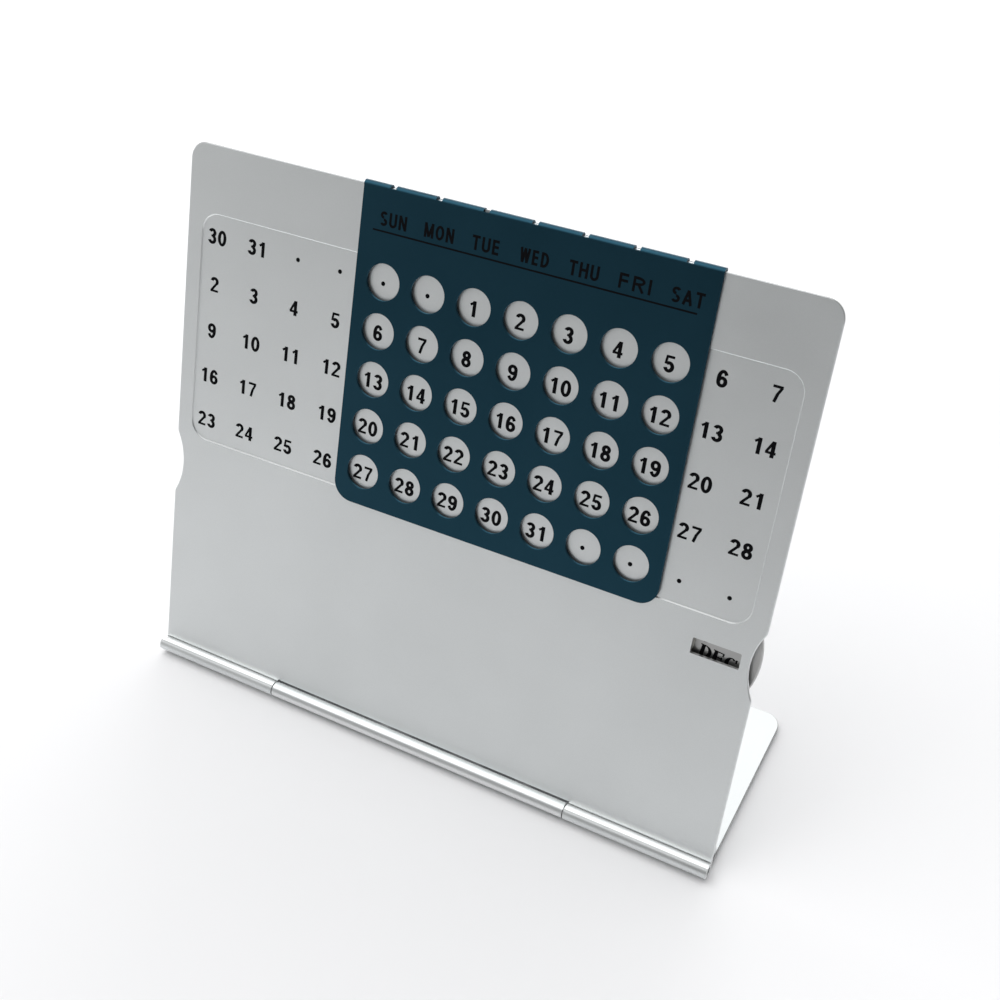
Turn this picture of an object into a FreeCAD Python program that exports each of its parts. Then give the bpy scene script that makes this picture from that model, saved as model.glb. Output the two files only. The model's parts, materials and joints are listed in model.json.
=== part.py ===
import FreeCAD, Part
import math
import os
from FreeCAD import Vector

# Perpetual desk calendar, in millimetres.
# The row frame has X to the right, Y to the back and Z up, with the origin on the table
# under the middle of the whole part.
# The panel's parts are drawn upright in the panel's own frame and then leaned back:
# X to the right, Y to the back and Z up the sheet, with the origin on the hinge axis.

# Grid of the printed dates
PITCH = 11.0
FIRST_ROW_UP = 108.0
GRID_MIDDLE = -0.2

# Sheet metal
SHEET = 0.8
SLIDE_SHEET = 0.5

# Hinge, rolled from the two sheets round one pin
KNUCKLE_R = 1.8
PIN_R = 0.95
RUNNING_GAP = 0.05
MIDDLE_KNUCKLE = 80.0
KNUCKLE_GAP = 0.3
CURL_SLIT = 0.15
HINGE_CUT = 2.1
LEAN_DEG = 20.0

# Front panel
PANEL_WIDTH = 149.4
PANEL_TOP = 127.85
PANEL_CORNER_R = 4.0
PANEL_EDGE = 0.2
FIELD_WIDTH = 141.5
FIELD_LOW = 58.2
FIELD_HIGH = 112.8
FIELD_DEPTH = 0.25
FIELD_CORNER_R = 4.5
FIELD_SLOPE = 0.25
FIELD_WALL = 0.6
THUMB_R = 16.0
THUMB_DEPTH = 2.05
THUMB_BLEND_R = 2.0
WINDOW_WIDTH = 10.7
WINDOW_HEIGHT = 3.7
WINDOW_FROM_WHEEL = 9.55
WINDOW_CORNER_R = 0.3

# Base plate and its feet
BASE_DEPTH = 49.0
BASE_IN_FROM_SIDE = 0.4
BASE_CORNER_R = 4.0
BASE_EDGE = 0.15
FOOT_R = 4.5
FOOT_THICK = 0.6
FOOT_IN_FROM_SIDE = 10.0
FOOT_FROM_FRONT = 9.0
FOOT_IN_FROM_BACK = 8.5
FOOT_EDGE = 0.2

# Date slide
SLIDE_COLUMNS = 7
SLIDE_ROWS = 5
SLIDE_SIDE_MARGIN = 7.05
SLIDE_LOW = 55.9
SLIDE_FOLD_UP = 127.5
SLIDE_CORNER_R = 4.5
SLIDE_EDGE = 0.1
SLIDE_BACK_LEG = 12.5
SLIDE_BACK_CORNER_R = 3.0
SLIDE_GAP = 0.1
HOLE_R = 4.0
HOLE_CHAMFER = 0.12
NOTCH_WIDTH = 1.4
NOTCH_LOW = 127.85
# Which of the slide's notches sits over the panel's locating tab at rest, counted from 0
REST_NOTCH = 2

# Month wheel and what holds it
WHEEL_RIGHT = 55.7
WHEEL_UP = 50.55
WHEEL_R = 18.7
WHEEL_THICK = 1.5
WHEEL_BEHIND_PANEL = 1.0
WHEEL_EDGE = 0.25
STUD_R = 2.0
STUD_FLANGE_R = 3.6
STUD_FLANGE_THICK = 0.5
STUD_TIP_CHAMFER = 0.4
BUSH_R = 3.0
BUSH_FLANGE_R = 4.4
BUSH_PROUD = 0.1
THRUST_GAP = 0.1
SPRING_WASHER_RISE = 0.5
SPRING_WASHER_SHEET = 0.25
WASHER_R = 4.2
WASHER_THICK = 0.4
CLIP_R = 4.0
CLIP_THICK = 0.5
CLIP_MOUTH = 2.6
GROOVE_R = 1.5
STUD_END = 0.8

# A length longer than any piece, for cutting tools
LONG = 400.0

# Places worked out from the sizes above
HALF = PANEL_WIDTH / 2
FRONT_FACE = KNUCKLE_R - SHEET
BACK_FACE = KNUCKLE_R
TOTAL_DEPTH = KNUCKLE_R + BASE_DEPTH
AXIS_Y = KNUCKLE_R - TOTAL_DEPTH / 2
AXIS_Z = FOOT_THICK + KNUCKLE_R
SLIDE_CENTRE = GRID_MIDDLE + ((SLIDE_COLUMNS - 1) / 2 - REST_NOTCH) * PITCH
BASE_HALF = HALF - BASE_IN_FROM_SIDE
SLIDE_HALF = (SLIDE_COLUMNS - 1) / 2 * PITCH + SLIDE_SIDE_MARGIN
WHEEL_FRONT = BACK_FACE + WHEEL_BEHIND_PANEL
WHEEL_BACK = WHEEL_FRONT + WHEEL_THICK
FLANGE_BACK = BACK_FACE + STUD_FLANGE_THICK
BUSH_FRONT = FLANGE_BACK + THRUST_GAP
BUSH_BACK = WHEEL_BACK + BUSH_PROUD
SPRING_FRONT = BUSH_BACK + THRUST_GAP
WASHER_FRONT = SPRING_FRONT + SPRING_WASHER_RISE
CLIP_FRONT = WASHER_FRONT + WASHER_THICK
CLIP_BACK = CLIP_FRONT + CLIP_THICK

X_AXIS = Vector(1, 0, 0)
Y_AXIS = Vector(0, 1, 0)


def block(x, y, z):
    """A box between pairs of limits along X, Y and Z."""
    size = [limits[1] - limits[0] for limits in (x, y, z)]
    return Part.makeBox(size[0], size[1], size[2], Vector(x[0], y[0], z[0]))


def rod_x(radius, x, y=0.0, z=0.0):
    """A round bar along X between two limits."""
    return Part.makeCylinder(radius, x[1] - x[0], Vector(x[0], y, z), X_AXIS)


def rod_y(radius, y, x=0.0, z=0.0):
    """A round bar along Y between two limits."""
    return Part.makeCylinder(radius, y[1] - y[0], Vector(x, y[0], z), Y_AXIS)


def round_edges(shape, radius, direction, points):
    """Fillet the straight edges along a direction that pass closest to the given points."""
    chosen = []
    for point in points:
        vertex = Part.Vertex(point)
        along = [edge for edge in shape.Edges if is_along(edge, direction)]
        chosen.append(min(along, key=lambda edge: edge.distToShape(vertex)[0]))
    return shape.makeFillet(radius, chosen)


def is_along(edge, direction):
    """True for a straight edge that runs along a direction."""
    if not isinstance(edge.Curve, Part.Line):
        return False
    return abs(abs(edge.tangentAt(edge.FirstParameter).dot(direction)) - 1) < 1e-6


def rounded_sheet(x, y, z, radius, corners):
    """A flat sheet facing Y with some corners rounded; corners are pairs of 0 (low) or 1 (high)."""
    middle = (y[0] + y[1]) / 2
    points = [Vector(x[i], middle, z[k]) for i, k in corners]
    return round_edges(block(x, y, z), radius, Y_AXIS, points)


def ease_face(shape, y, size, rolled_z):
    """Chamfers the outline of a sheet's face at a place along Y, except the edge that is rolled over."""
    outline = []
    for edge in shape.Edges:
        box = edge.BoundBox
        on_face = abs(box.YMin - y) < 1e-6 and abs(box.YMax - y) < 1e-6
        rolled = abs(box.ZMin - rolled_z) < 1e-6 and abs(box.ZMax - rolled_z) < 1e-6
        if on_face and not rolled:
            outline.append(edge)
    return shape.makeChamfer(size, outline)


def ring_x(outer, inner, x):
    """A tube along X round the hinge axis."""
    return rod_x(outer, x).cut(rod_x(inner, x))


def knuckle(x, bore):
    """A rolled knuckle round the hinge axis; its curl stops a slit short of the upright sheet."""
    slit = block(x, (FRONT_FACE - CURL_SLIT, FRONT_FACE), (0, KNUCKLE_R + SHEET))
    return ring_x(KNUCKLE_R, bore, x).cut(slit)


def lean_back(shape):
    """Moves a shape from the panel's own frame to the row frame."""
    shape.rotate(Vector(0, 0, 0), X_AXIS, -LEAN_DEG)
    shape.translate(Vector(0, AXIS_Y, AXIS_Z))
    return shape


def lay_down(shape):
    """Turns a sheet and knuckle drawn upright into the base's: the sheet runs back along the floor."""
    shape.rotate(Vector(0, 0, 0), X_AXIS, -90)
    shape.translate(Vector(0, AXIS_Y, AXIS_Z))
    return shape


def outer_knuckle_limits():
    """The X limits of the panel's two knuckles, left and right of the middle one."""
    inner = (MIDDLE_KNUCKLE + KNUCKLE_GAP) / 2
    return [(-HALF, -inner), (inner, HALF)]


def middle_knuckle_limits():
    """The X limits of the base's knuckle."""
    half = (MIDDLE_KNUCKLE - KNUCKLE_GAP) / 2
    return (-half, half)


def thumb_notches(sheet):
    """Cuts the shallow thumb notch into each side edge, and blends its shoulders."""
    sheet_y = (FRONT_FACE - SHEET, BACK_FACE + SHEET)
    from_edge = THUMB_R - THUMB_DEPTH
    half_chord = math.sqrt(THUMB_R ** 2 - from_edge ** 2)
    middle = (FRONT_FACE + BACK_FACE) / 2
    shoulders = []
    for side in (-1, 1):
        centre = side * (HALF + from_edge)
        sheet = sheet.cut(rod_y(THUMB_R, sheet_y, centre, WHEEL_UP))
        for end in (-1, 1):
            shoulders.append(Vector(side * HALF, middle, WHEEL_UP + end * half_chord))
    return round_edges(sheet, THUMB_BLEND_R, Y_AXIS, shoulders)


def rounded_outline(x, z, y, radius):
    """A closed outline with four round corners, in the plane at a place along Y."""
    corners = [(x[1], z[0], -90), (x[1], z[1], 0), (x[0], z[1], 90), (x[0], z[0], 180)]
    edges = []
    ends = []
    for corner_x, corner_z, start in corners:
        centre_x = corner_x - math.copysign(radius, corner_x)
        centre_z = corner_z + (radius if corner_z == z[0] else -radius)
        turn = [math.radians(start + part) for part in (0, 45, 90)]
        points = [Vector(centre_x + radius * math.cos(a), y, centre_z + radius * math.sin(a)) for a in turn]
        if ends:
            edges.append(Part.LineSegment(ends[-1], points[0]).toShape())
        edges.append(Part.Arc(*points).toShape())
        ends += [points[0], points[2]]
    edges.append(Part.LineSegment(ends[-1], ends[0]).toShape())
    return Part.Wire(edges)


def field_pocket():
    """What the press takes out of the panel's front: a shallow tray with sloping sides."""
    half_field = FIELD_WIDTH / 2
    x = (-half_field + FIELD_SLOPE, half_field - FIELD_SLOPE)
    z = (FIELD_LOW + FIELD_SLOPE, FIELD_HIGH - FIELD_SLOPE)
    floor = rounded_outline(x, z, FRONT_FACE + FIELD_DEPTH, FIELD_CORNER_R - FIELD_SLOPE)
    rim = rounded_outline((-half_field, half_field), (FIELD_LOW, FIELD_HIGH), FRONT_FACE, FIELD_CORNER_R)
    return Part.makeLoft([floor, rim], True, True)


def front_panel():
    """The upright sheet: pressed date field, month window, thumb notches and two rolled knuckles."""
    sheet_y = (FRONT_FACE, BACK_FACE)
    sheet = rounded_sheet((-HALF, HALF), sheet_y, (0, PANEL_TOP), PANEL_CORNER_R, [(0, 1), (1, 1)])
    sheet = thumb_notches(sheet)
    for face in sheet_y:
        sheet = ease_face(sheet, face, PANEL_EDGE, 0)
    middle = (MIDDLE_KNUCKLE + KNUCKLE_GAP) / 2
    sheet = sheet.cut(block((-middle, middle), (-LONG, LONG), (-LONG, HINGE_CUT)))

    corners = [(0, 0), (0, 1), (1, 0), (1, 1)]
    half_field = FIELD_WIDTH / 2
    pressed = rounded_sheet((-half_field - FIELD_WALL, half_field + FIELD_WALL),
                            (BACK_FACE - SHEET / 4, BACK_FACE + FIELD_DEPTH),
                            (FIELD_LOW - FIELD_WALL, FIELD_HIGH + FIELD_WALL),
                            FIELD_CORNER_R + FIELD_WALL, corners)
    sheet = sheet.fuse(pressed).cut(field_pocket())

    window_x = WHEEL_RIGHT + WINDOW_FROM_WHEEL
    window = rounded_sheet((window_x - WINDOW_WIDTH / 2, window_x + WINDOW_WIDTH / 2),
                           (FRONT_FACE - SHEET, BACK_FACE + SHEET),
                           (WHEEL_UP - WINDOW_HEIGHT / 2, WHEEL_UP + WINDOW_HEIGHT / 2),
                           WINDOW_CORNER_R, corners)
    sheet = sheet.cut(window)

    bore = PIN_R + RUNNING_GAP
    sheet = sheet.cut(rod_x(bore, (-LONG, LONG)))
    for limits in outer_knuckle_limits():
        sheet = sheet.fuse(knuckle(limits, bore))
    return lean_back(sheet.removeSplitter())


def base_plate():
    """The plate on the table, with its own rolled knuckle gripping the pin in the middle."""
    corners = [(0, 1), (1, 1)]
    sheet = rounded_sheet((-BASE_HALF, BASE_HALF), (FRONT_FACE, BACK_FACE), (0, BASE_DEPTH), BASE_CORNER_R, corners)
    for face in (FRONT_FACE, BACK_FACE):
        sheet = ease_face(sheet, face, BASE_EDGE, 0)
    middle = (MIDDLE_KNUCKLE - KNUCKLE_GAP) / 2
    for side in ((-LONG, -middle), (middle, LONG)):
        sheet = sheet.cut(block(side, (-LONG, LONG), (-LONG, HINGE_CUT)))
    sheet = sheet.cut(rod_x(PIN_R, (-LONG, LONG)))
    sheet = sheet.fuse(knuckle(middle_knuckle_limits(), PIN_R))
    return lay_down(sheet.removeSplitter())


def hinge_pin():
    """The steel pin through all three knuckles, a little short of the ends, with eased tips."""
    reach = HALF - SHEET / 2
    pin = rod_x(PIN_R, (-reach, reach), AXIS_Y, AXIS_Z)
    ends = [edge for edge in pin.Edges if isinstance(edge.Curve, Part.Circle)]
    return pin.makeChamfer(PIN_R / 3, ends)


def foot(side, y):
    """A thin round pad under one corner of the base plate."""
    pad = Part.makeCylinder(FOOT_R, FOOT_THICK, Vector(side * (HALF - FOOT_IN_FROM_SIDE), y, 0))
    rim = [edge for edge in pad.Edges if isinstance(edge.Curve, Part.Circle) and edge.CenterOfMass.z < FOOT_EDGE]
    return pad.makeChamfer(FOOT_EDGE, rim)


def date_slide():
    """The folded slide that hangs over the panel's top edge, with a hole for each date."""
    x = (SLIDE_CENTRE - SLIDE_HALF, SLIDE_CENTRE + SLIDE_HALF)
    inner_r = (SLIDE_GAP + SHEET + SLIDE_GAP) / 2
    outer_r = inner_r + SLIDE_SHEET
    leaf_back = FRONT_FACE - SLIDE_GAP
    fold_y = leaf_back + inner_r
    leg_front = fold_y + inner_r
    leaf = rounded_sheet(x, (leaf_back - SLIDE_SHEET, leaf_back), (SLIDE_LOW, SLIDE_FOLD_UP),
                         SLIDE_CORNER_R, [(0, 0), (1, 0)])
    leaf = ease_face(leaf, leaf_back - SLIDE_SHEET, SLIDE_EDGE, SLIDE_FOLD_UP)
    leg = rounded_sheet(x, (leg_front, leg_front + SLIDE_SHEET),
                        (SLIDE_FOLD_UP - SLIDE_BACK_LEG, SLIDE_FOLD_UP), SLIDE_BACK_CORNER_R, [(0, 0), (1, 0)])
    fold = rod_x(outer_r, x, fold_y, SLIDE_FOLD_UP).cut(rod_x(inner_r, x, fold_y, SLIDE_FOLD_UP))
    fold = fold.cut(block(x, (-LONG, LONG), (SLIDE_FOLD_UP - LONG, SLIDE_FOLD_UP)))
    slide = leaf.fuse([leg, fold]).removeSplitter()

    front = leaf_back - SLIDE_SHEET
    cuts = []
    for column in range(SLIDE_COLUMNS):
        hole_x = SLIDE_CENTRE + (column - (SLIDE_COLUMNS - 1) / 2) * PITCH
        for row in range(SLIDE_ROWS):
            hole_z = FIRST_ROW_UP - row * PITCH
            cuts.append(rod_y(HOLE_R, (front - SHEET, leaf_back + SLIDE_GAP / 2), hole_x, hole_z))
            cuts.append(Part.makeCone(HOLE_R + HOLE_CHAMFER, HOLE_R, HOLE_CHAMFER,
                                      Vector(hole_x, front, hole_z), Y_AXIS))
        cuts.append(block((hole_x - NOTCH_WIDTH / 2, hole_x + NOTCH_WIDTH / 2), (-LONG, LONG),
                          (NOTCH_LOW, LONG)))
    return lean_back(slide.cut(cuts))


def wheel_part(shape):
    """Moves a round piece from the hinge axis to the month wheel's centre, then leans it back."""
    shape.translate(Vector(WHEEL_RIGHT, 0, WHEEL_UP))
    return lean_back(shape)


def month_wheel():
    """The disc that carries the month names and shows its rim in the thumb notch."""
    disc = rod_y(WHEEL_R, (WHEEL_FRONT, WHEEL_BACK))
    rims = [edge for edge in disc.Edges if isinstance(edge.Curve, Part.Circle)]
    disc = disc.makeChamfer(WHEEL_EDGE, rims)
    return wheel_part(disc.cut(rod_y(BUSH_R, (WHEEL_FRONT, WHEEL_BACK))))


def wheel_bush():
    """The flanged plastic bush pressed into the wheel, which turns on the stud."""
    sleeve = rod_y(BUSH_R, (BUSH_FRONT, BUSH_BACK))
    flange = rod_y(BUSH_FLANGE_R, (BUSH_FRONT, WHEEL_FRONT))
    bore = rod_y(STUD_R + RUNNING_GAP, (BUSH_FRONT, BUSH_BACK))
    return wheel_part(sleeve.fuse(flange).cut(bore))


def wheel_stud():
    """The stud welded to the panel's back, with a groove for the clip."""
    shaft = rod_y(STUD_R, (BACK_FACE, CLIP_BACK + STUD_END))
    tip = [edge for edge in shaft.Edges
           if isinstance(edge.Curve, Part.Circle) and edge.CenterOfMass.y > CLIP_BACK]
    shaft = shaft.makeChamfer(STUD_TIP_CHAMFER, tip)
    flange = rod_y(STUD_FLANGE_R, (BACK_FACE, FLANGE_BACK))
    groove = rod_y(STUD_R, (CLIP_FRONT, CLIP_BACK)).cut(rod_y(GROOVE_R, (CLIP_FRONT, CLIP_BACK)))
    return wheel_part(shaft.fuse(flange).cut(groove))


def spring_washer():
    """A dished washer that keeps a light drag on the wheel."""
    rise = SPRING_WASHER_RISE - SPRING_WASHER_SHEET
    outside = Part.makeCone(STUD_R + RUNNING_GAP, WASHER_R, rise, Vector(0, SPRING_FRONT, 0), Y_AXIS)
    rim = rod_y(WASHER_R, (SPRING_FRONT + rise, WASHER_FRONT))
    dish = outside.translated(Vector(0, SPRING_WASHER_SHEET, 0))
    bore = rod_y(STUD_R + RUNNING_GAP, (SPRING_FRONT, WASHER_FRONT))
    return wheel_part(outside.fuse(rim).cut([dish, bore]))


def flat_washer():
    """The plain washer between the spring washer and the clip."""
    bore = rod_y(STUD_R + RUNNING_GAP, (WASHER_FRONT, CLIP_FRONT))
    return wheel_part(rod_y(WASHER_R, (WASHER_FRONT, CLIP_FRONT)).cut(bore))


def retaining_clip():
    """The snap ring in the stud's groove, open on its lower side."""
    ring = rod_y(CLIP_R, (CLIP_FRONT, CLIP_BACK)).cut(rod_y(GROOVE_R, (CLIP_FRONT, CLIP_BACK)))
    mouth = block((-CLIP_MOUTH / 2, CLIP_MOUTH / 2), (CLIP_FRONT, CLIP_BACK), (-CLIP_R, 0))
    return wheel_part(ring.cut(mouth))


def all_parts():
    """Every node's name and its solid."""
    front_y = AXIS_Y + FOOT_FROM_FRONT
    back_y = AXIS_Y + BASE_DEPTH - FOOT_IN_FROM_BACK
    parts = {
        "front_panel": front_panel(),
        "base_plate": base_plate(),
        "hinge_pin": hinge_pin(),
        "date_slide": date_slide(),
        "month_wheel": month_wheel(),
        "wheel_bush": wheel_bush(),
        "wheel_stud": wheel_stud(),
        "spring_washer": spring_washer(),
        "flat_washer": flat_washer(),
        "retaining_clip": retaining_clip(),
    }
    for side, side_name in ((-1, "left"), (1, "right")):
        parts["foot_front_" + side_name] = foot(side, front_y)
        parts["foot_rear_" + side_name] = foot(side, back_y)
    return parts


os.makedirs("parts", exist_ok=True)
for name, shape in all_parts().items():
    shape.exportStep("parts/" + name + ".step")
    print(name, "solids", len(shape.Solids), "valid", shape.isValid(), "volume %.1f" % shape.Volume)
print("hinge axis y %.3f z %.3f" % (AXIS_Y, AXIS_Z))
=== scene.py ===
import json
import math
from collections import namedtuple

import bpy
import numpy as np
from mathutils import Matrix, Vector
from mathutils.geometry import delaunay_2d_cdt


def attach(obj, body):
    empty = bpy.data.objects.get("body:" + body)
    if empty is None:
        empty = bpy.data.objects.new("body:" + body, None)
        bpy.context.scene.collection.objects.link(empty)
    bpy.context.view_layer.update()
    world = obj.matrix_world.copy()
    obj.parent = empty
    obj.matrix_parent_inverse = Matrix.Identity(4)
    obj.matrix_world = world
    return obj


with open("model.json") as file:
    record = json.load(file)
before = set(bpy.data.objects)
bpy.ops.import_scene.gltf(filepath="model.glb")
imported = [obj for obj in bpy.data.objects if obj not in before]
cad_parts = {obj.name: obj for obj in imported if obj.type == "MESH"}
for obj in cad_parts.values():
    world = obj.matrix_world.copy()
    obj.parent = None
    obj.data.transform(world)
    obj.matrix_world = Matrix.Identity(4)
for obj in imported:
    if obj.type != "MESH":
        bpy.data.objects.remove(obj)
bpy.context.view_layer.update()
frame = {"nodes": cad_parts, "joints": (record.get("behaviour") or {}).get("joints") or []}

MM = 0.001

# The panel leans back about its hinge; both are read from the frame's joints.
JOINTS = {joint["name"]: joint for joint in frame["joints"]}
HINGE = np.array(JOINTS["stand_tilt"]["pos_m"])
WHEEL_AXIS = JOINTS["month_turn"]["axis"]
LEAN = math.atan2(WHEEL_AXIS[2], -WHEEL_AXIS[1])

# Grid of the printed dates, in millimetres on the panel; the tab stands over its middle column
PITCH = 11.0
COLUMNS = 13
ROWS = 5
MIDDLE_COLUMN = 6
GRID_MIDDLE = -0.2
FIRST_ROW_UP = 108.0
# The print sits a little left of and below the middles of the slide's holes.
PRINT_SHIFT = (-0.37, -0.54)
LAST_DAY = 31
DAY_AT_START = -5
DIGIT_HIGH = 3.4
DIGIT_STEP = 2.7
DOT_R = 0.5

# Faces that carry print, as distances behind the hinge axis, in millimetres
FIELD_FLOOR = 1.25
SLIDE_FRONT = 0.4
WHEEL_FRONT = 2.8
INK_PROUD = 0.02

# Weekday names and the line under them
WEEKDAYS = (("SUN", 6.4), ("MON", 7.0), ("TUE", 6.4), ("WED", 6.5), ("THU", 6.5), ("FRI", 6.9), ("SAT", 6.7))
FIRST_WEEKDAY_X = -21.2
WEEKDAY_UP = 119.85
WEEKDAY_HIGH = 3.05
RULE_X = (-26.0, 47.2)
RULE_UP = 118.7
RULE_THICK = 0.36

# Month names, set along the wheel's radii
MONTHS = ("JAN", "FEB", "MAR", "APR", "MAY", "JUN", "JUL", "AUG", "SEP", "OCT", "NOV", "DEC")
WHEEL_X = 55.7
WHEEL_UP = 50.55
MONTH_FROM = 5.95
MONTH_TO = 14.1
MONTH_HIGH = 2.85
MONTH_DROP = 0.42
MONTH_SHOWN_TURN = -7.4

# The tab on the panel's top edge that the slide's notches drop over
TAB_HALF_WIDTH = 0.58
TAB_LOW = 127.5
TAB_HIGH = 128.35
TAB_CORNER_R = 0.25
TAB_BACK = (1.1, 1.7)

# Stroke widths of a lettering one unit high, and how far its serifs reach past a stem
Hand = namedtuple("Hand", "stem hair serif")
DATE_HAND = Hand(0.235, 0.2, 0)
WEEKDAY_HAND = Hand(0.178, 0.18, 0)
MONTH_HAND = Hand(0.29, 0.085, 0.08)


def on_panel(x, up, out):
    """Row-frame points of places on the leaning panel, in metres.

    x runs right, up runs along the sheet from the hinge axis and out stands off its front;
    up and out are turned by the lean about the hinge axis."""
    back = -np.asarray(out, float)
    up = np.asarray(up, float)
    y = HINGE[1] + MM * (back * math.cos(LEAN) + up * math.sin(LEAN))
    z = HINGE[2] + MM * (up * math.cos(LEAN) - back * math.sin(LEAN))
    return np.stack([MM * np.asarray(x, float) + 0 * y, y, z], axis=-1)


def bar(start, end, wide):
    """A straight stroke: the line's two ends, each moved half the width to both sides."""
    start, end = np.array(start, float), np.array(end, float)
    along = (end - start) / np.linalg.norm(end - start)
    side = np.array([-along[1], along[0]]) * wide / 2
    return np.array([start - side, end - side, end + side, start + side])


def bow(centre, radii, turn, side, top):
    """A curved stroke: the band between two ellipses, centre + (radii +- half thickness) * (cos, sin).

    The band is side thick where it runs upright and top thick where it runs level. Turn is in degrees."""
    steps = max(3, int(abs(turn[1] - turn[0]) / 9))
    angle = np.radians(np.linspace(turn[0], turn[1], steps + 1))
    spoke = np.stack([np.cos(angle), np.sin(angle)], axis=1)
    half = np.array([side, top]) / 2
    outer = np.array(centre) + spoke * (np.array(radii) + half)
    inner = np.array(centre) + spoke * (np.array(radii) - half)
    return np.concatenate([outer, inner[::-1]])


def ring(centre, radii, side, top):
    """A closed curved stroke, made of two half bows."""
    return [bow(centre, radii, (0, 181), side, top), bow(centre, radii, (180, 361), side, top)]


def disc(centre, radius, steps=20):
    """A round dot: centre + radius * (cos, sin) round the circle."""
    angle = np.linspace(0, 2 * math.pi, steps, endpoint=False)
    return np.array(centre) + radius * np.stack([np.cos(angle), np.sin(angle)], axis=1)


def digit_strokes(digit, hand=DATE_HAND):
    """The strokes of a digit one unit high, centred on x 0."""
    stem, hair, _ = hand
    if digit == "0":
        return ring((0, 0.5), (0.225, 0.425), stem, hair)
    if digit == "1":
        return [bar((0.07, 0), (0.07, 1), stem), bar((-0.21, 0.73), (0.05, 0.915), 0.15)]
    if digit == "2":
        return [bow((-0.005, 0.715), (0.215, 0.21), (-38, 168), stem, hair),
                bar((0.175, 0.60), (-0.215, 0.12), 0.165), bar((-0.31, 0.075), (0.31, 0.075), 0.15)]
    if digit == "3":
        return [bow((-0.01, 0.735), (0.195, 0.19), (-85, 162), stem, hair),
                bow((-0.01, 0.29), (0.215, 0.215), (-166, 85), stem, hair),
                bar((-0.09, 0.525), (0.06, 0.525), 0.14)]
    if digit == "4":
        return [bar((0.11, 0), (0.11, 1), stem), bar((-0.32, 0.285), (0.31, 0.285), 0.15),
                bar((-0.27, 0.29), (0.07, 0.95), 0.155)]
    if digit == "5":
        return [bar((-0.2, 0.92), (0.27, 0.92), 0.155), bar((-0.175, 0.98), (-0.235, 0.46), 0.15),
                bow((-0.01, 0.315), (0.215, 0.24), (-166, 138), stem, hair)]
    if digit == "6":
        return ring((0.005, 0.305), (0.215, 0.228), stem, hair) + [
            bow((0.015, 0.5), (0.23, 0.425), (32, 184), stem, hair),
            bar((-0.213, 0.52), (-0.21, 0.30), stem)]
    if digit == "7":
        return [bar((-0.29, 0.92), (0.31, 0.92), 0.16), bar((0.25, 0.9), (0.03, 0.45), 0.165),
                bar((0.045, 0.48), (-0.075, 0), 0.185)]
    if digit == "8":
        return ring((0, 0.745), (0.18, 0.182), stem, hair) + ring((0, 0.288), (0.215, 0.212), stem, hair)
    return [np.array([0, 1]) - stroke for stroke in digit_strokes("6", hand)]


LETTER_WIDTHS = {"A": 0.76, "B": 0.68, "C": 0.76, "D": 0.72, "E": 0.64, "F": 0.62, "G": 0.78, "H": 0.72,
                 "I": 0.2, "J": 0.52, "L": 0.6, "M": 0.86, "N": 0.72, "O": 0.78, "P": 0.66, "R": 0.7,
                 "S": 0.64, "T": 0.66, "U": 0.7, "V": 0.74, "W": 0.98, "Y": 0.72}


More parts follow.
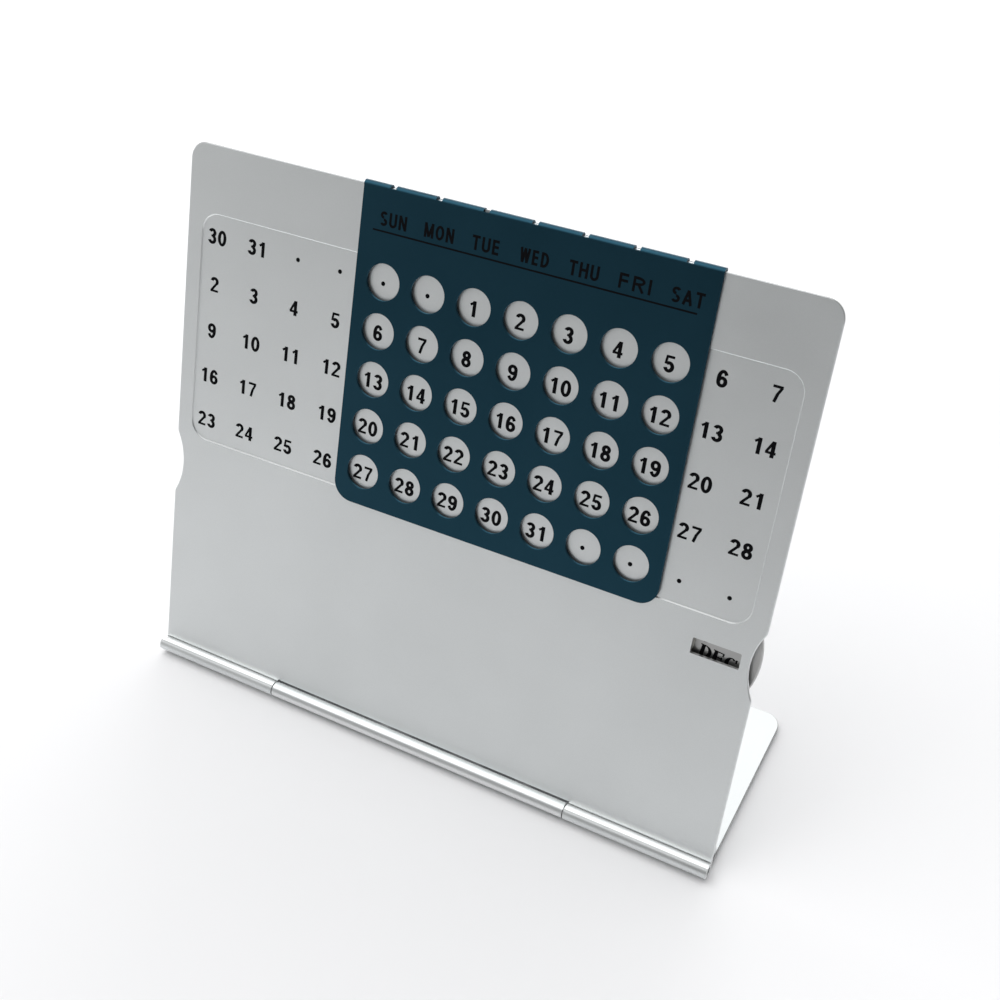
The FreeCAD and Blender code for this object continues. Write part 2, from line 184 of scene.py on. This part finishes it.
def letter_strokes(letter, hand):
    """The strokes of a capital one unit high, from x 0 to its width. Upright strokes are the hand's stems,
    level ones its hairs, and a hand with serifs gets a short level bar across each free end."""
    stem, hair, serif = hand
    wide = LETTER_WIDTHS[letter]
    left, right, middle = stem / 2, wide - stem / 2, wide / 2
    low, high = hair / 2, 1 - hair / 2
    thin = hair if serif else stem
    near, far = thin / 2, wide - thin / 2

    def foot(x, y, reach=None):
        """The serif across a stroke's end, if the hand has serifs."""
        reach = reach or stem / 2 + serif
        return [bar((x - reach, y), (x + reach, y), hair)] if serif else []

    def upright(x, wide_stroke=stem, ends=(low, high)):
        """An upright stroke up to the letter's top, with a serif at each end that stands free."""
        stroke = [bar((x, ends[0] - hair / 2 if ends[0] == low else ends[0]), (x, 1), wide_stroke)]
        for end in ends:
            if end in (low, high):
                stroke += foot(x, end, wide_stroke / 2 + serif)
        return stroke

    def arm(x_from, x_to, y):
        """A level stroke with the serif that its free end has."""
        stroke = [bar((x_from, y), (x_to, y), hair)]
        if serif:
            inward = -1 if y > 0.6 else 1
            if abs(y - 0.5) < 0.1:
                stroke.append(bar((x_to, y - 0.13), (x_to, y + 0.13), hair))
            else:
                tip = (x_to - 0.02, y + inward * 0.22)
                stroke.append(bar((x_to, y - inward * hair / 2), tip, hair * 1.2))
        return stroke

    def bulge(x_from, x_to, bottom, top):
        """The round right side of a letter."""
        centre = (x_from, (bottom + top) / 2)
        radii = (x_to - x_from - stem / 2, (top - bottom) / 2 - hair / 2)
        return [bow(centre, radii, (-90, 90), stem, hair)]

    def level(x_from, x_to, y):
        """A plain level stroke."""
        return [bar((x_from, y), (x_to, y), hair)]

    if letter == "A":
        top = (middle, 1 - hair / 3)
        legs = [bar((near, 0), top, thin), bar((right, 0), top, stem)]
        feet = foot(near, low, serif + hair / 2) + foot(right, low)
        return legs + level(0.2 * wide, 0.8 * wide, 0.3) + feet
    if letter in "BPR":
        turn_x = left + 0.16
        waist = 0.46 if letter == "P" else 0.5
        strokes = upright(left) + level(left, turn_x, high) + level(left, turn_x, waist)
        strokes += bulge(turn_x, wide * (0.94 if letter == "B" else 1), waist - hair / 2, 1)
        if letter == "B":
            strokes += level(left, turn_x, low) + bulge(turn_x, wide, 0, waist + hair / 2)
        if letter == "R":
            strokes += [bar((middle * 0.95, waist), (right, 0), stem)] + foot(right + serif / 2, low, serif)
        return strokes
    if letter in "CG":
        strokes = [bow((middle, 0.5), (middle - stem / 2, 0.5 - low), (48, 312), stem, hair)]
        if serif:
            strokes.append(bar((right + 0.04, 0.98), (right + 0.04, 0.70), hair * 1.3))
        if letter == "G":
            strokes += [bar((right, 0.05), (right, 0.42), stem)] + level(wide * 0.55, wide + serif / 2, 0.42)
        return strokes
    if letter == "D":
        turn_x = left + 0.14
        levels = level(left, turn_x, high) + level(left, turn_x, low)
        return upright(left) + levels + bulge(turn_x, wide, 0, 1)
    if letter in "EFL":
        strokes = upright(left)
        if letter != "L":
            strokes += arm(left, wide - hair / 2, high) + arm(left, wide * 0.84, 0.52)
        if letter != "F":
            strokes += arm(left, wide - hair / 2, low)
        return strokes
    if letter == "H":
        return upright(left) + upright(right) + level(left, right, 0.52)
    if letter == "I":
        return upright(middle)
    if letter == "J":
        return upright(right, ends=(0.25, high)) + [
            bow((middle - 0.02, 0.25), (right - middle + 0.02, 0.25 - low), (-170, 0), stem, hair)]
    if letter == "M":
        dip = (middle, 0.06)
        slants = [bar((near, 0.98), dip, stem), bar((right, 0.98), dip, thin)]
        return upright(near, thin) + upright(right) + slants
    if letter == "N":
        return upright(near, thin) + upright(far, thin) + [bar((near, 0.98), (far, 0.03), stem)]
    if letter == "O":
        return ring((middle, 0.5), (middle - stem / 2, 0.5 - low), stem, hair)
    if letter == "S":
        return [bow((middle, 0.745), (middle - stem / 2, 0.255 - low), (25, 270), stem, hair),
                bow((middle, 0.262), (middle - stem / 2, 0.262 - low), (-155, 90), stem, hair)]
    if letter == "T":
        return upright(middle, ends=(low, 1)) + arm(middle, wide, high) + [
            np.array([wide, 0]) + np.array([-1, 1]) * stroke[::-1] for stroke in arm(middle, wide, high)]
    if letter == "U":
        both = (stem + thin) / 2
        cup = bow((middle, 0.31), (middle - both / 2, 0.31 - low), (180, 360), both, hair)
        return upright(left, ends=(0.3, high)) + upright(far, thin, ends=(0.3, high)) + [cup]
    if letter == "V":
        arms = [bar((left, 1), (middle, 0.03), stem), bar((far, 1), (middle, 0.03), thin)]
        return arms + foot(left, high) + foot(far, high, serif + hair / 2)
    if letter == "W":
        return [bar((left, 1), (wide * 0.29, 0.02), stem), bar((middle, 0.97), (wide * 0.29, 0.02), thin),
                bar((middle, 0.97), (wide * 0.71, 0.02), stem), bar((right, 1), (wide * 0.71, 0.02), thin)]
    stalk = upright(middle, ends=(low, 0.45))[:1]
    arms = [bar((left, 1), (middle, 0.42), stem), bar((far, 1), (middle, 0.42), thin)]
    return stalk + arms + foot(left, high) + foot(far, high, serif + hair / 2)


def set_word(word, hand, wide, high):
    """A word's strokes in millimetres, from x 0 to its width and up 0 to its height: letters side by side
    with equal gaps, stretched sideways until the word has the width asked for. The stems are drawn as much
    narrower as the stretch widens them, so every word has the same weight."""
    gap = 0.04 + hand.serif if hand.serif else 0.19
    natural = sum(LETTER_WIDTHS[letter] for letter in word) + gap * (len(word) - 1)
    drawn = hand._replace(stem=hand.stem * natural * high / wide)
    strokes = []
    x = 0.0
    for letter in word:
        strokes += [stroke + np.array([x, 0]) for stroke in letter_strokes(letter, drawn)]
        x += LETTER_WIDTHS[letter] + gap
    return [stroke * np.array([wide / natural, high]) for stroke in strokes]


def moved(strokes, x, up, turn_deg=0.0):
    """Strokes turned about the origin, then moved: rotation matrix times each point, plus the place."""
    turn = math.radians(turn_deg)
    matrix = np.array([[math.cos(turn), math.sin(turn)], [-math.sin(turn), math.cos(turn)]])
    return [stroke @ matrix + np.array([x, up]) for stroke in strokes]


def flat_union(strokes):
    """Joins overlapping strokes into one flat mesh of triangles.

    All outlines go into one constrained triangulation, and the triangles inside at least one stroke stay."""
    points = []
    faces = []
    for stroke in strokes:
        shift_x = np.roll(stroke[:, 0], -1)
        shift_y = np.roll(stroke[:, 1], -1)
        if (stroke[:, 0] * shift_y - shift_x * stroke[:, 1]).sum() < 0:
            stroke = stroke[::-1]
        faces.append(list(range(len(points), len(points) + len(stroke))))
        points += [Vector(point) for point in stroke]
    flat, _, triangles, _, _, owners = delaunay_2d_cdt(points, [], faces, 0, 1e-5, True)
    flat = np.array([tuple(point) for point in flat])
    triangles = np.array([face for face, owner in zip(triangles, owners) if owner])
    a, b, c = (flat[triangles[:, i]] for i in range(3))
    turned = (b[:, 0] - a[:, 0]) * (c[:, 1] - a[:, 1]) - (b[:, 1] - a[:, 1]) * (c[:, 0] - a[:, 0]) < 0
    triangles[turned] = triangles[turned][:, ::-1]
    return flat, triangles


def thick_print(flat, triangles, surface):
    """A closed layer of ink over a flat mesh: the mesh at two heights, and a wall along each edge that has
    a triangle on one side only. Half of the layer is sunk into the surface it is printed on."""
    count = len(flat)
    up_out = -surface + INK_PROUD
    down_out = -surface - INK_PROUD
    top = on_panel(flat[:, 0], flat[:, 1], np.full(count, up_out))
    bottom = on_panel(flat[:, 0], flat[:, 1], np.full(count, down_out))
    edges = np.concatenate([triangles[:, [0, 1]], triangles[:, [1, 2]], triangles[:, [2, 0]]])
    code = edges[:, 0] * count + edges[:, 1]
    twin = edges[:, 1] * count + edges[:, 0]
    rim = edges[~np.isin(code, twin)]
    walls = np.stack([rim[:, 0] + count, rim[:, 1] + count, rim[:, 1], rim[:, 0]], axis=1)
    faces = triangles.tolist() + (triangles[:, ::-1] + count).tolist() + walls.tolist()
    return np.concatenate([top, bottom]), faces


def add_piece(name, layers, body, material):
    """Joins closed layers into one mesh object at the origin, and gives it its body and material."""
    vertices = []
    faces = []
    start = 0
    for layer_vertices, layer_faces in layers:
        vertices.append(layer_vertices)
        faces += [[index + start for index in face] for face in layer_faces]
        start += len(layer_vertices)
    mesh = bpy.data.meshes.new(name)
    mesh.from_pydata(np.concatenate(vertices).tolist(), [], faces)
    mesh.update()
    mesh.materials.append(material)
    piece = bpy.data.objects.new(name, mesh)
    bpy.context.scene.collection.objects.link(piece)
    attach(piece, body)


def date_text(row, column):
    """What is printed at a place of the grid: a day, or a dot where the month has none. The first row starts
    with the last two days, which a sixth week would need."""
    day = 7 * row + column + DAY_AT_START
    if row == 0 and column < 2:
        return str(LAST_DAY - 1 + column)
    return str(day) if 1 <= day <= LAST_DAY else "."


def printed_dates(ink):
    """All days and dots on the floor of the pressed field."""
    glyphs = {digit: flat_union([stroke * DIGIT_HIGH for stroke in digit_strokes(digit)])
              for digit in "0123456789"}
    dot = flat_union([disc((0, DIGIT_HIGH / 2), DOT_R)])
    layers = []
    for row in range(ROWS):
        for column in range(COLUMNS):
            x = GRID_MIDDLE + PRINT_SHIFT[0] + (column - MIDDLE_COLUMN) * PITCH
            up = FIRST_ROW_UP + PRINT_SHIFT[1] - row * PITCH - DIGIT_HIGH / 2
            text = date_text(row, column)
            for place, sign in enumerate(text):
                flat, triangles = dot if sign == "." else glyphs[sign]
                shift = (place - (len(text) - 1) / 2) * DIGIT_STEP
                layers.append(thick_print(flat + np.array([x + shift, up]), triangles, FIELD_FLOOR))
    add_piece("printed_dates", layers, "panel", ink)


def printed_weekdays(ink):
    """The seven weekday names over the slide's columns, and the line under them."""
    layers = []
    for column, (word, wide) in enumerate(WEEKDAYS):
        strokes = set_word(word, WEEKDAY_HAND, wide, WEEKDAY_HIGH)
        x = FIRST_WEEKDAY_X + column * PITCH - wide / 2
        layers.append(thick_print(*flat_union(moved(strokes, x, WEEKDAY_UP)), SLIDE_FRONT))
    rule = [bar((RULE_X[0], RULE_UP), (RULE_X[1], RULE_UP), RULE_THICK)]
    layers.append(thick_print(*flat_union(rule), SLIDE_FRONT))
    add_piece("printed_weekdays", layers, "slide", ink)


def printed_months(ink):
    """The twelve month names on the wheel, each along its own radius, thirty degrees apart, with the last
    one in the window."""
    layers = []
    for number, word in enumerate(MONTHS):
        strokes = set_word(word, MONTH_HAND, MONTH_TO - MONTH_FROM, MONTH_HIGH)
        strokes = moved(strokes, MONTH_FROM, -MONTH_HIGH / 2 - MONTH_DROP)
        turn = MONTH_SHOWN_TURN + 360 / len(MONTHS) * (number + 1)
        layers.append(thick_print(*flat_union(moved(strokes, WHEEL_X, WHEEL_UP, turn)), WHEEL_FRONT))
    add_piece("printed_months", layers, "wheel", ink)


def locating_tab(metal):
    """The tongue of the panel's top edge that stands in one of the slide's notches: a flat outline with two
    round upper corners, carried through the sheet."""
    r = TAB_CORNER_R
    quarter = np.radians(np.linspace(0, 90, 7))
    arc = np.stack([np.cos(quarter), np.sin(quarter)], axis=1) * r
    right = arc + np.array([TAB_HALF_WIDTH - r, TAB_HIGH - r])
    outline = np.concatenate([[[-TAB_HALF_WIDTH, TAB_LOW], [TAB_HALF_WIDTH, TAB_LOW]], right,
                              (right * np.array([-1, 1]))[::-1]]) + np.array([GRID_MIDDLE, 0])
    count = len(outline)
    front = on_panel(outline[:, 0], outline[:, 1], np.full(count, -TAB_BACK[0]))
    back = on_panel(outline[:, 0], outline[:, 1], np.full(count, -TAB_BACK[1]))
    step = np.arange(count)
    following = (step + 1) % count
    walls = np.stack([step + count, following + count, following, step], axis=1)
    faces = [step.tolist(), (step[::-1] + count).tolist()] + walls.tolist()
    layer = (np.concatenate([front, back]), faces)
    add_piece("locating_tab", [layer], "panel", metal)


class Wire:
    """A socket in a shader tree. Sums, differences and products of wires add Math nodes."""

    def __init__(self, nodes, socket):
        self.nodes = nodes
        self.socket = socket

    def math(self, operation, *values):
        return self.nodes.add("ShaderNodeMath", {"operation": operation}, dict(enumerate(values)))

    def __add__(self, other):
        return self.math("ADD", self, other)

    def __radd__(self, other):
        return self.math("ADD", other, self)

    def __sub__(self, other):
        return self.math("SUBTRACT", self, other)

    def __rsub__(self, other):
        return self.math("SUBTRACT", other, self)

    def __mul__(self, other):
        return self.math("MULTIPLY", self, other)

    def __rmul__(self, other):
        return self.math("MULTIPLY", other, self)


class Nodes:
    """A shader tree, and the methods that add nodes to it."""

    def __init__(self, tree):
        self.tree = tree

    def add(self, kind, settings, inputs, output=0):
        """Adds a node of a kind, sets its settings and then its sockets, and returns one of its outputs."""
        node = self.tree.nodes.new(kind)
        for key, value in settings.items():
            setattr(node, key, value)
        for key, value in inputs.items():
            self.plug(node.inputs[key], value)
        return Wire(self, node.outputs[output])

    def plug(self, socket, value):
        """Links a wire to a socket, or sets a number, vector or colour on it."""
        if isinstance(value, Wire):
            self.tree.links.new(value.socket, socket)
        else:
            socket.default_value = value

    def span(self, value, low, high, to_low=0.0, to_high=1.0):
        """Maps a value's stretch onto another, without leaving it."""
        stretch = {"From Min": low, "From Max": high, "To Min": to_low, "To Max": to_high}
        return self.add("ShaderNodeMapRange", {"clamp": True}, {"Value": value, **stretch})


class Finish(Nodes):
    """The nodes of one material, and its Principled shader."""

    def __init__(self, name):
        self.material = bpy.data.materials.new(name)
        self.material.use_nodes = True
        super().__init__(self.material.node_tree)
        self.shader = self.tree.nodes["Principled BSDF"]

    def wear(self, **values):
        """Sets the Principled shader's sockets, named with underscores for spaces."""
        for key, value in values.items():
            self.plug(self.shader.inputs[key.replace("_", " ")], value)
        return self.material

    def place(self, scale=(1, 1, 1), centre=(0, 0, 0), turn=(0, 0, 0)):
        """Object coordinates, moved so that centre is at 0, turned, then scaled."""
        here = self.add("ShaderNodeTexCoord", {}, {}, "Object")
        if any(centre):
            here = self.add("ShaderNodeVectorMath", {"operation": "SUBTRACT"}, {0: here, 1: centre})
        return self.add("ShaderNodeMapping", {}, {"Vector": here, "Rotation": turn, "Scale": scale})

    def noise(self, where, scale, detail=2.0, rough=0.5):
        """A noise value from 0 to 1 at a place. The scale is in waves to a metre."""
        inputs = {"Vector": where, "Scale": scale, "Detail": detail, "Roughness": rough}
        return self.add("ShaderNodeTexNoise", {}, inputs, "Fac")

    def blend(self, factor, first, second):
        """A colour between two."""
        return self.add("ShaderNodeMix", {"data_type": "RGBA"}, {"Factor": factor, 6: first, 7: second}, 2)

    def bump(self, height, distance, strength):
        """A bumped normal from a height."""
        return self.add("ShaderNodeBump", {}, {"Height": height, "Distance": distance, "Strength": strength})

    def towards(self, direction):
        """How far the surface faces along a direction, from -1 to 1: its normal's dot product with it."""
        normal = self.add("ShaderNodeNewGeometry", {}, {}, "Normal")
        change = {"vector_type": "NORMAL", "convert_from": "WORLD", "convert_to": "OBJECT"}
        here = self.add("ShaderNodeVectorTransform", change, {"Vector": normal})
        product = {"operation": "DOT_PRODUCT"}
        return self.add("ShaderNodeVectorMath", product, {0: here, 1: direction}, "Value")

    def facing(self, direction):
        """How squarely the surface faces along a direction, front or back, from 0 to 1."""
        square = self.towards(direction)
        return square.math("ABSOLUTE", square)


# Painted shade behind the hinge: its colour, and the stretches of the row's depth over which it comes and
# goes
HINGE_SHADE_BEGINS = (HINGE[1] + 0.0014, HINGE[1] + 0.0019)
HINGE_SHADE_ENDS = (HINGE[1] + 0.0045, HINGE[1] + 0.0075)
HINGE_SHADE_COLOUR = (0.05, 0.052, 0.055, 1)

PANEL_NORMAL = (0.0, -math.cos(LEAN), math.sin(LEAN))
PANEL_UP = (0.0, math.sin(LEAN), math.cos(LEAN))
FLOOR_NORMAL = (0.0, 0.0, 1.0)

# How squarely a place faces as the sheet does: a cut edge ends over the first stretch, and a pressed slope
# begins over the second and ends over the third
EDGE_ENDS = (0.3, 0.65)
SLOPE_BEGINS = (0.6, 0.68)
SLOPE_ENDS = (0.74, 0.85)

# Share of the sheet's colour on a pressed slope that faces up, a painted shade, and on one that faces down, a
# painted highlight
SLOPE_SHADE_SHARE = 0.5
SLOPE_HIGHLIGHT_SHARE = 1.38


def shade(colour, share=1):
    """A colour with its parts times a share, at most 1, and an alpha of 1."""
    return tuple(min(1, part * share) for part in colour) + (1,)


def satin_sheet(name, face_normal, colour, edge_colour, paint_hinge_shade=False):
    """Satin anodised aluminium sheet: a fine blasted grain, faint clouding from the anodising bath, smudges,
    and cut edges that are brighter and show the shear's marks. A pressed slope that faces up carries painted
    shade, and one that faces down a painted highlight. Where asked for, painted shade darkens the strip
    behind the hinge."""
    finish = Finish(name)
    here = finish.place()
    grain = finish.noise(here, 5200, 3.0, 0.6)
    cloud = finish.noise(here, 22, 2.0)
    smudge = finish.noise(finish.place(scale=(1.0, 1.6, 1.3)), 60, 4.0, 0.62)
    square = finish.facing(face_normal)
    edge = 1 - finish.span(square, *EDGE_ENDS)
    slope = finish.span(square, *SLOPE_BEGINS) - finish.span(square, *SLOPE_ENDS)
    up = finish.towards(PANEL_UP)
    shear = finish.noise(here, 2600, 1.0)
    tone = finish.span(cloud * 0.6 + grain * 0.4, 0.3, 0.7)
    face = finish.blend(tone, shade(colour, 0.95), shade(colour, 1.05))
    # Painted shade: a pressed slope that faces up is darkened
    face = finish.blend(slope * finish.span(up, 0.35, 0.65), face, shade(colour, SLOPE_SHADE_SHARE))
    # Painted highlight: a pressed slope that faces down is brightened
    face = finish.blend(slope * finish.span(up, -0.35, -0.65), face, shade(colour, SLOPE_HIGHLIGHT_SHARE))
    # Painted shade: the base's top is darkened in a strip behind the hinge knuckles, broken up a little by
    # the smudge noise
    if paint_hinge_shade:
        back = finish.add("ShaderNodeSeparateXYZ", {}, {"Vector": here}, "Y")
        strip = finish.span(back, *HINGE_SHADE_BEGINS) - finish.span(back, *HINGE_SHADE_ENDS)
        face = finish.blend(strip * finish.span(smudge, 0.2, 0.5, 0.75, 1.0), face, HINGE_SHADE_COLOUR)
    return finish.wear(
        Base_Color=finish.blend(edge, face, shade(edge_colour)),
        Metallic=1.0,
        Roughness=finish.span(smudge + grain * 0.3, 0.3, 0.95, 0.39, 0.46) - edge * 0.06,
        Normal=finish.bump(grain * 0.8 + edge * shear, 0.00002, 0.35))


def teal_sheet():
    """Teal anodised aluminium: dyed deep, with fine grain, faint clouding in the dye, and paler metal where
    the dye has rubbed thin along the folded ridge and the punched rims."""
    finish = Finish("teal_anodised")
    here = finish.place()
    grain = finish.noise(here, 4800, 3.0, 0.6)
    cloud = finish.noise(here, 26, 3.0)
    rub = finish.noise(finish.place(scale=(0.25, 1, 1)), 900, 3.0, 0.6)
    edge = 1 - finish.span(finish.facing(PANEL_NORMAL), 0.3, 0.9)
    worn = edge * finish.span(rub, 0.58, 0.8)
    dye = finish.blend(finish.span(cloud * 0.7 + grain * 0.3, 0.35, 0.65),
                       (0.0125, 0.046, 0.069, 1), (0.0155, 0.053, 0.079, 1))
    return finish.wear(
        Base_Color=finish.blend(worn * 0.4, dye, (0.10, 0.24, 0.30, 1)),
        Metallic=0.97,
        Roughness=finish.span(grain * 0.5 + cloud * 0.5, 0.3, 0.7, 0.30, 0.42),
        Normal=finish.bump(grain, 0.00002, 0.3))


def turned_wheel_metal():
    """Lathe-turned aluminium: rings round the wheel's axis, cut a few hundredths of a millimetre apart."""
    finish = Finish("wheel_aluminium")
    centre = tuple(on_panel(WHEEL_X, WHEEL_UP, 0.0))
    local = finish.place(centre=centre, turn=(LEAN, 0, 0))
    flat = finish.add("ShaderNodeVectorMath", {"operation": "MULTIPLY"}, {0: local, 1: (1, 0, 1)})
    radius = finish.add("ShaderNodeVectorMath", {"operation": "LENGTH"}, {0: flat}, "Value")
    rings = finish.add("ShaderNodeTexNoise", {"noise_dimensions": "1D"},
                       {"W": radius, "Scale": 9000, "Detail": 3.0}, "Fac")
    patch = finish.noise(finish.place(), 70, 3.0)
    return finish.wear(
        Base_Color=finish.blend(finish.span(patch, 0.3, 0.7), (0.40, 0.40, 0.395, 1), (0.46, 0.46, 0.455, 1)),
        Metallic=1.0,
        Roughness=finish.span(rings + patch * 0.4, 0.4, 1.0, 0.28, 0.44),
        Normal=finish.bump(rings, 0.00003, 0.4))


def drawn_steel(name, colour, rough):
    """Drawn and plated steel: faint lines along the wire's length and small dull patches."""
    finish = Finish(name)
    lines = finish.noise(finish.place(scale=(0.04, 1, 1)), 9000, 3.0, 0.6)
    patch = finish.noise(finish.place(), 420, 3.0)
    return finish.wear(
        Base_Color=finish.blend(finish.span(patch, 0.35, 0.65), shade(colour, 0.86), shade(colour)),
        Metallic=1.0,
        Roughness=finish.span(patch + lines * 0.3, 0.4, 1.0, rough, rough + 0.16),
        Normal=finish.bump(lines, 0.00001, 0.4))


def moulded_nylon():
    """Natural nylon: milky, a little uneven in colour, with a fine moulded grain."""
    finish = Finish("nylon")
    grain = finish.noise(finish.place(), 3500, 3.0)
    tint = finish.noise(finish.place(), 300, 2.0)
    return finish.wear(
        Base_Color=finish.blend(tint, (0.78, 0.76, 0.70, 1), (0.84, 0.83, 0.79, 1)),
        Roughness=finish.span(grain, 0.3, 0.7, 0.42, 0.56),
        Normal=finish.bump(grain, 0.00002, 0.3))


def soft_silicone():
    """Clear-grey silicone of the pads: pale, matt where it has picked up dust."""
    finish = Finish("silicone")
    dust = finish.noise(finish.place(), 900, 4.0, 0.65)
    return finish.wear(
        Base_Color=finish.blend(finish.span(dust, 0.4, 0.7), (0.52, 0.53, 0.53, 1), (0.62, 0.62, 0.60, 1)),
        Roughness=finish.span(dust, 0.35, 0.65, 0.35, 0.62),
        Normal=finish.bump(dust, 0.00003, 0.35))


def printing_ink():
    """Screen-printing ink: black, a touch thinner and greyer in fine speckles of the mesh."""
    finish = Finish("black_ink")
    mesh_marks = finish.noise(finish.place(), 4200, 2.0, 0.6)
    return finish.wear(
        Base_Color=finish.blend(finish.span(mesh_marks, 0.45, 0.8), (0.002, 0.002, 0.003, 1),
                                (0.006, 0.006, 0.007, 1)),
        Roughness=finish.span(mesh_marks, 0.3, 0.7, 0.5, 0.65),
        Specular_IOR_Level=0.05,
        Normal=finish.bump(mesh_marks, 0.00001, 0.3))


def dress(material, *nodes):
    """Gives CAD nodes their finish."""
    for node in nodes:
        mesh = frame["nodes"][node].data
        for index in range(len(mesh.materials)):
            mesh.materials[index] = material


# The camera stands to the right of the calendar and looks down at it, in metres, degrees and, for the
# sensor and the lens, millimetres.
CAMERA_PLACE = (0.12285, -0.19424, 0.26186)
CAMERA_HEADING = 29.6165
CAMERA_DOWN = 41.1501
CAMERA_ROLL = -1.9363
SENSOR = 36.0
LENS = 49.823


def add_camera():
    """Places the camera by its heading to the left of straight on, its dip below level and its roll."""
    data = bpy.data.cameras.new("camera")
    data.lens = LENS
    data.sensor_width = SENSOR
    data.clip_start = 0.01
    camera = bpy.data.objects.new("camera", data)
    bpy.context.scene.collection.objects.link(camera)
    camera.matrix_world = (Matrix.Translation(CAMERA_PLACE)
                           @ Matrix.Rotation(math.radians(CAMERA_HEADING), 4, "Z")
                           @ Matrix.Rotation(math.radians(90 - CAMERA_DOWN), 4, "X")
                           @ Matrix.Rotation(math.radians(CAMERA_ROLL), 4, "Z"))
    bpy.context.scene.camera = camera


def add_floor():
    """A wide pale table top."""
    finish = Finish("pale_table")
    soft = finish.noise(finish.place(), 9, 3.0)
    material = finish.wear(
        Base_Color=finish.blend(soft, (0.84, 0.84, 0.85, 1), (0.87, 0.87, 0.88, 1)),
        Roughness=0.65,
        Specular_IOR_Level=0.25)
    half = 3.0
    corners = [(-half, -half, 0), (half, -half, 0), (half, half, 0), (-half, half, 0)]
    mesh = bpy.data.meshes.new("table_top")
    mesh.from_pydata(corners, [], [(0, 1, 2, 3)])
    mesh.materials.append(material)
    floor = bpy.data.objects.new("table_top", mesh)
    bpy.context.scene.collection.objects.link(floor)


def add_softbox(name, place, aim, size, watts):
    """A rectangular softbox at a place, turned towards a point."""
    data = bpy.data.lights.new(name, "AREA")
    data.shape = "RECTANGLE"
    data.size, data.size_y = size
    data.energy = watts
    lamp = bpy.data.objects.new(name, data)
    bpy.context.scene.collection.objects.link(lamp)
    lamp.location = place
    lamp.rotation_euler = (Vector(aim) - Vector(place)).to_track_quat("-Z", "Y").to_euler()


def add_room_light(dark, bright, towards, between):
    """Light from all round, growing from dark to bright towards one side of the room, between two values
    of a direction's dot product with the direction of that side."""
    world = bpy.data.worlds.new("room")
    bpy.context.scene.world = world
    world.use_nodes = True
    nodes = Nodes(world.node_tree)
    direction = nodes.add("ShaderNodeTexCoord", {}, {}, "Generated")
    product = {"operation": "DOT_PRODUCT"}
    share = nodes.add("ShaderNodeVectorMath", product, {0: direction, 1: towards}, "Value")
    background = nodes.tree.nodes["Background"]
    nodes.plug(background.inputs["Strength"], nodes.span(share, *between, dark, bright))
    nodes.plug(background.inputs["Color"], (1, 1, 1, 1))


ALUMINIUM = (0.665, 0.687, 0.690)
PANEL_ALUMINIUM = (0.70, 0.722, 0.723)
CUT_ALUMINIUM = (0.76, 0.77, 0.77)

panel_metal = satin_sheet("satin_aluminium", PANEL_NORMAL, PANEL_ALUMINIUM, CUT_ALUMINIUM)
# The base's material carries the painted shade behind the hinge.
base_metal = satin_sheet("satin_aluminium_base", FLOOR_NORMAL, ALUMINIUM, CUT_ALUMINIUM, paint_hinge_shade=True)
steel = drawn_steel("bright_steel", colour=(0.62, 0.62, 0.62), rough=0.18)
spring_metal = drawn_steel("spring_steel", colour=(0.34, 0.34, 0.36), rough=0.26)
ink = printing_ink()

dress(panel_metal, "front_panel")
dress(base_metal, "base_plate")
dress(teal_sheet(), "date_slide")
dress(turned_wheel_metal(), "month_wheel")
dress(steel, "hinge_pin", "wheel_stud", "flat_washer", "retaining_clip")
dress(spring_metal, "spring_washer")
dress(moulded_nylon(), "wheel_bush")
dress(soft_silicone(), "foot_front_left", "foot_front_right", "foot_rear_left", "foot_rear_right")

printed_dates(ink)
printed_weekdays(ink)
printed_months(ink)
locating_tab(panel_metal)

add_camera()
add_floor()
add_softbox("overhead_softbox", place=(-0.32, -0.06, 1.15), aim=(0, 0, 0.04), size=(1.3, 1.1), watts=8.3)
add_softbox("rear_softbox", place=(-0.3, 1.1, 0.36), aim=(0, 0, 0.06), size=(0.9, 0.5), watts=3.4)
add_room_light(dark=0.12, bright=1.2, towards=(-0.6, 0.8, 0.0), between=(-0.75, 0.6))

bpy.context.scene.view_settings.view_transform = "Standard"
